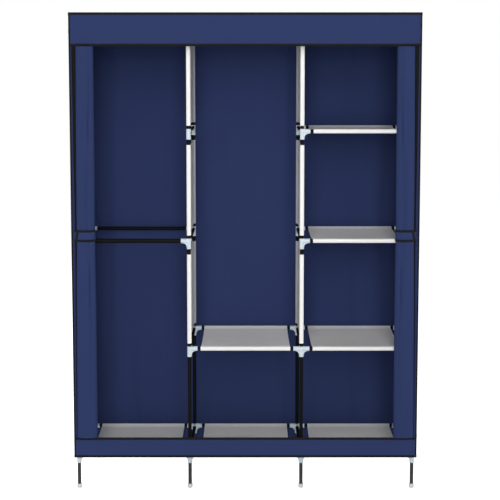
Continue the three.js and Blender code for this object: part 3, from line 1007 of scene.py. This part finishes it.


# How much of the painted-shade strip beside the roll the roll hides, from the roll's foot to its
# head
STRIP_HIDDEN = (0.6, 0.6, 0.5, 0.35, 0.12, 0.0)

# Soft creases down the roll: where each lies across it (-1 is the outer edge, 1 the inner)
# and how deep it is, from the roll's foot to its head; then its half width
CREASES = (
    ((-0.1, 0.0, 0.05, 0.1, 0.35, 0.55), (0.0, 0.0, 0.05, 0.22, 0.34, 0.30), 0.16),
    ((0.45, 0.50, 0.40, 0.15, -0.15, -0.45), (0.06, 0.20, 0.34, 0.12, 0.20, 0.12), 0.14),
    ((-0.6, -0.55, -0.5, -0.5, -0.6, -0.55), (0.10, 0.06, 0.18, 0.12, 0.05, 0.16), 0.12),
)


def along_roll(values, share):
    """A smooth run through evenly spaced values."""
    place = min(max(share, 0.0), 1.0) * (len(values) - 1)
    k = min(int(place), len(values) - 2)
    return values[k] + (values[k + 1] - values[k]) * eased(place - k)


def roll_spot(angle, z, share=1.0, creased=True, extra=0.0):
    """A point of the roll's section: angle 0 is its inner edge, and negative is the front."""
    up = (z - roll_foot) / (roll_head - roll_foot)
    square = ROLL_SQUARE_FOOT + (ROLL_SQUARE_HEAD - ROLL_SQUARE_FOOT) * max(0.0, 2 * up - 1)
    across, deep = (math.copysign(abs(value) ** square, value)
                    for value in (math.cos(angle), math.sin(angle)))
    tail = tail_at(z)
    half_u = (ROLL_REACH - tail) / 2
    middle_u = tail + half_u
    half_u = half_u * waist_at(z) * share + extra
    half_v = ROLL_THICKNESS / 2 * waist_at(z) * share + extra
    groove = 1.0
    if creased:
        for places, depths, width in CREASES:
            away = (across - along_roll(places, up)) / width
            groove -= along_roll(depths, up) * math.exp(-away * away) * abs(math.sin(angle))
    return middle_u + half_u * across, roll_v + half_v * deep * groove


def to_world(side, u, v, z):
    return Vector((side * (seam_x - u), front_face + v, z))


def roll_path(z):
    """The cloth's whole path at a height: from the seam, round and round to the core."""
    path = [(0.0, SEAM_DEPTH)]
    total = round(ROLL_STEPS * ROLL_TURNS)
    for step in range(total + 1):
        turns = step / ROLL_STEPS
        wound = max(0.0, turns - 0.5) / (ROLL_TURNS - 0.5)
        share = 1 - (1 - ROLL_CORE_SHARE) * wound
        path.append(roll_spot(-math.pi + 2 * math.pi * turns, z, share))
    return path


def seam_shade_strip(side_name, side):
    """A black strip over the curtain's cloth between the seam and the roll: painted shade for the
    gap there.
    """
    node = f"{side_name}_curtain"
    rows, flat = [], []
    for z in ring_heights:
        start = Vector((0.0, SEAM_DEPTH))
        end = Vector(roll_spot(-math.pi, z))
        way = (end - start).normalized()
        out = Vector((way.y, -way.x)) * STRIP_LIFT
        whole = (end - start).length - STRIP_LIFT
        hidden = whole * along_roll(STRIP_HIDDEN, (z - roll_foot) / (roll_head - roll_foot))
        row = []
        for step in range(STRIP_STEPS + 1):
            away = (whole - hidden) * step / STRIP_STEPS
            u, v = start + way * (hidden + away) + out
            row.append(to_world(side, u, v, z))
            flat.append((z, away - TAPE_STITCH))
        rows.append(row)
    # Painted shade: the strip takes the black tape's finish so that the gap beside the roll reads
    # dark
    return piece(f"{node}_seam_shade_strip", Shape().surface(rows, flat), "binding_tape",
                 body=node, thickness=TAPE_LEG, sharp=60)


def make_curtain(side_name, side):
    node = f"{side_name}_curtain"
    rows, flat = [], []
    for z in ring_heights:
        path = roll_path(z)
        rows.append([to_world(side, u, v, z) for u, v in path])
        flat.extend((z, SHEET_FROM_STITCH + along) for along in run_lengths(path))
    cloth = cover_cloth(f"{node}_cloth", rows, flat, node, [node])
    # The painted-shade strip darkens the gap between the seam and the roll
    seam_shade_strip(side_name, side)


def tie_path(to_angle):
    """The band's middle, round the roll from its inner edge."""
    clear = TIE_GAP + TIE_THICKNESS / 2
    return [roll_spot(to_angle * step / TIE_STEPS, tie_level, creased=False, extra=clear)
            for step in range(TIE_STEPS + 1)]


def ways_out(spots):
    """Unit vectors square to a path of (u, v) spots, on its side away from the roll."""
    ways = []
    centre = Vector(((ROLL_REACH + TAIL_TIE) / 2, roll_v))
    for k, spot in enumerate(spots):
        before, after = spots[max(0, k - 1)], spots[min(len(spots) - 1, k + 1)]
        way = Vector((after[1] - before[1], before[0] - after[0])).normalized()
        ways.append(way if way.dot(Vector(spot) - centre) > 0 else -way)
    return ways


def run_on(spots, foot, end_top, share_up):
    """The path with a straight run towards foot, cut off where the band ends at a height."""
    (last_u, last_v), (foot_u, foot_v) = spots[-1], foot
    kept = (foot_u + (end_top - foot_u) * share_up - last_u) / (foot_u - last_u)
    run = [kept * k / TIE_RUN_STEPS for k in range(1, TIE_RUN_STEPS + 1)]
    return spots + [(last_u + (foot_u - last_u) * t, last_v + (foot_v - last_v) * t)
                    for t in run]


def make_band(name, side, spots, foot, end_top, rides, replaced=()):
    """A bound strip along the spots to its foot corner; its upper corner is at end_top."""
    tall = tie_high - tie_low
    rows, flat, longest = [], [], 0.0
    for step in range(TIE_RUN_STEPS + 1):
        share = (TAPE_LEG + (tall - 2 * TAPE_LEG) * step / TIE_RUN_STEPS) / tall
        z = tie_low + tall * share
        path = run_on(spots, foot, end_top, share)
        lengths = run_lengths(path)
        rows.append([to_world(side, u, v, z) for u, v in path])
        flat.extend((along, SHEET_FROM_STITCH + z) for along in lengths)
        longest = max(longest, lengths[-1])
    cloth = cover_cloth(f"{name}_cloth", rows, flat, rides, replaced)
    edges = []
    for edge, z, up, share in (("lower", tie_low, 1, 0.0), ("upper", tie_high, -1, 1.0)):
        path = run_on(spots, foot, end_top, share)
        outs = [Vector((-side * way.x, way.y, 0)) for way in ways_out(path)]
        edges.append(tape(f"{name}_{edge}_tape", [to_world(side, u, v, z) for u, v in path],
                          (0, 0, up), outs, body=rides, width=TIE_TAPE_WIDTH))
    return cloth, (longest, tall), edges


def make_tie(side_name, side):
    """The band round the roll: a front half that opens, a back half and the stub it meets."""
    curtain, body = f"{side_name}_curtain", f"{side_name}_tie"
    front = tie_path(-TIE_WRAP)
    foot = (TIE_END_FOOT, -TIE_END_PROUD)
    cloth, cut, edges = make_band(f"{body}_front", side, front, foot, TIE_END_TOP, body,
                                  [f"{body}_band"])
    corners = []
    for z, share in ((tie_low, 0.0), (tie_high, 1.0)):
        u, v = run_on(front, foot, TIE_END_TOP, share)[-1]
        corners.append(to_world(side, u - TAPE_LEG, v, z))
    slant = (corners[1] - corners[0]).normalized()
    (before_u, before_v), (after_u, after_v) = front[-1], foot
    face = Vector((-side * (after_u - before_u), after_v - before_v, 0)).normalized()
    inward = (slant.dot(face) * slant - face).normalized()
    out = inward.cross(slant) * side
    path = [corners[0].lerp(corners[1], k / TIE_RUN_STEPS) for k in range(TIE_RUN_STEPS + 1)]
    edges.append(tape(f"{body}_front_end_tape", path, inward, [out] * len(path), body=body,
                      width=TIE_END_TAPE_WIDTH))
    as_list(edges)

    for part, spots, end in (("back", tie_path(TIE_WRAP), TIE_BACK_END),
                             ("stub", STUB_SPOTS, STUB_END)):
        cloth, cut, edges = make_band(f"{body}_{part}", side, spots, end, end[0], curtain)
        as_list(edges)


# Stage

def make_world():
    """A faint light all round, seen as plain white by the rays that show the background."""
    world = bpy.data.worlds.new("studio")
    bpy.context.scene.world = world
    world.use_nodes = True
    nodes = Nodes(world.node_tree)
    paths = nodes.node("ShaderNodeLightPath").outputs
    seen = nodes.math("MAXIMUM", paths["Is Camera Ray"], paths["Is Glossy Ray"])
    seen = nodes.math("MAXIMUM", seen, paths["Is Transmission Ray"])
    background = nodes.tree.nodes["Background"].inputs
    nodes.feed(background["Color"], (1, 1, 1, 1))
    nodes.feed(background["Strength"], nodes.spread(seen, AMBIENT, 1.0))


def make_floor():
    """A pale floor that reads as white where no shadow falls."""
    made = Finish("studio_floor", 1.0, Specular_IOR_Level=0.0, Emission_Color=(1, 1, 1, 1),
                  Base_Color=FLOOR_TONE)
    camera_ray = made.node("ShaderNodeLightPath").outputs["Is Camera Ray"]
    made.set(Emission_Strength=made.math("MULTIPLY", camera_ray, FLOOR_GLOW))
    edges = (-FLOOR_REACH, FLOOR_REACH)
    rows = [[Vector((x, y, -FLOOR_DROP)) for x in edges] for y in edges]
    mesh = Shape().surface(rows).mesh("floor")
    mesh.materials.append(made.material)
    link("floor", mesh)


def make_lamps():
    for name, (place, size, power) in LAMPS.items():
        light = bpy.data.lights.new(name, "AREA")
        light.shape = "SQUARE"
        light.size = size
        light.energy = power
        lamp = link(name, light)
        lamp.location = place
        lamp.rotation_euler = (LAMP_AIM - Vector(place)).to_track_quat("-Z", "Y").to_euler()


def make_camera():
    camera = bpy.data.cameras.new("camera")
    camera.sensor_width = SENSOR_WIDTH
    camera.lens = CAMERA_LENS
    camera.shift_y = CAMERA_SHIFT
    seen = link("camera", camera)
    seen.location = CAMERA_PLACE
    seen.rotation_euler = (math.radians(90 - CAMERA_TILT), 0, 0)
    bpy.context.scene.camera = seen


make_world()
make_floor()
make_lamps()
make_camera()
bpy.context.scene.view_settings.view_transform = "Standard"

make_posts()
make_runs()
make_rungs()
make_cloth_fittings()
make_cover()
for curtain_side, direction in SIDES.items():
    make_curtain(curtain_side, direction)
    make_tie(curtain_side, direction)
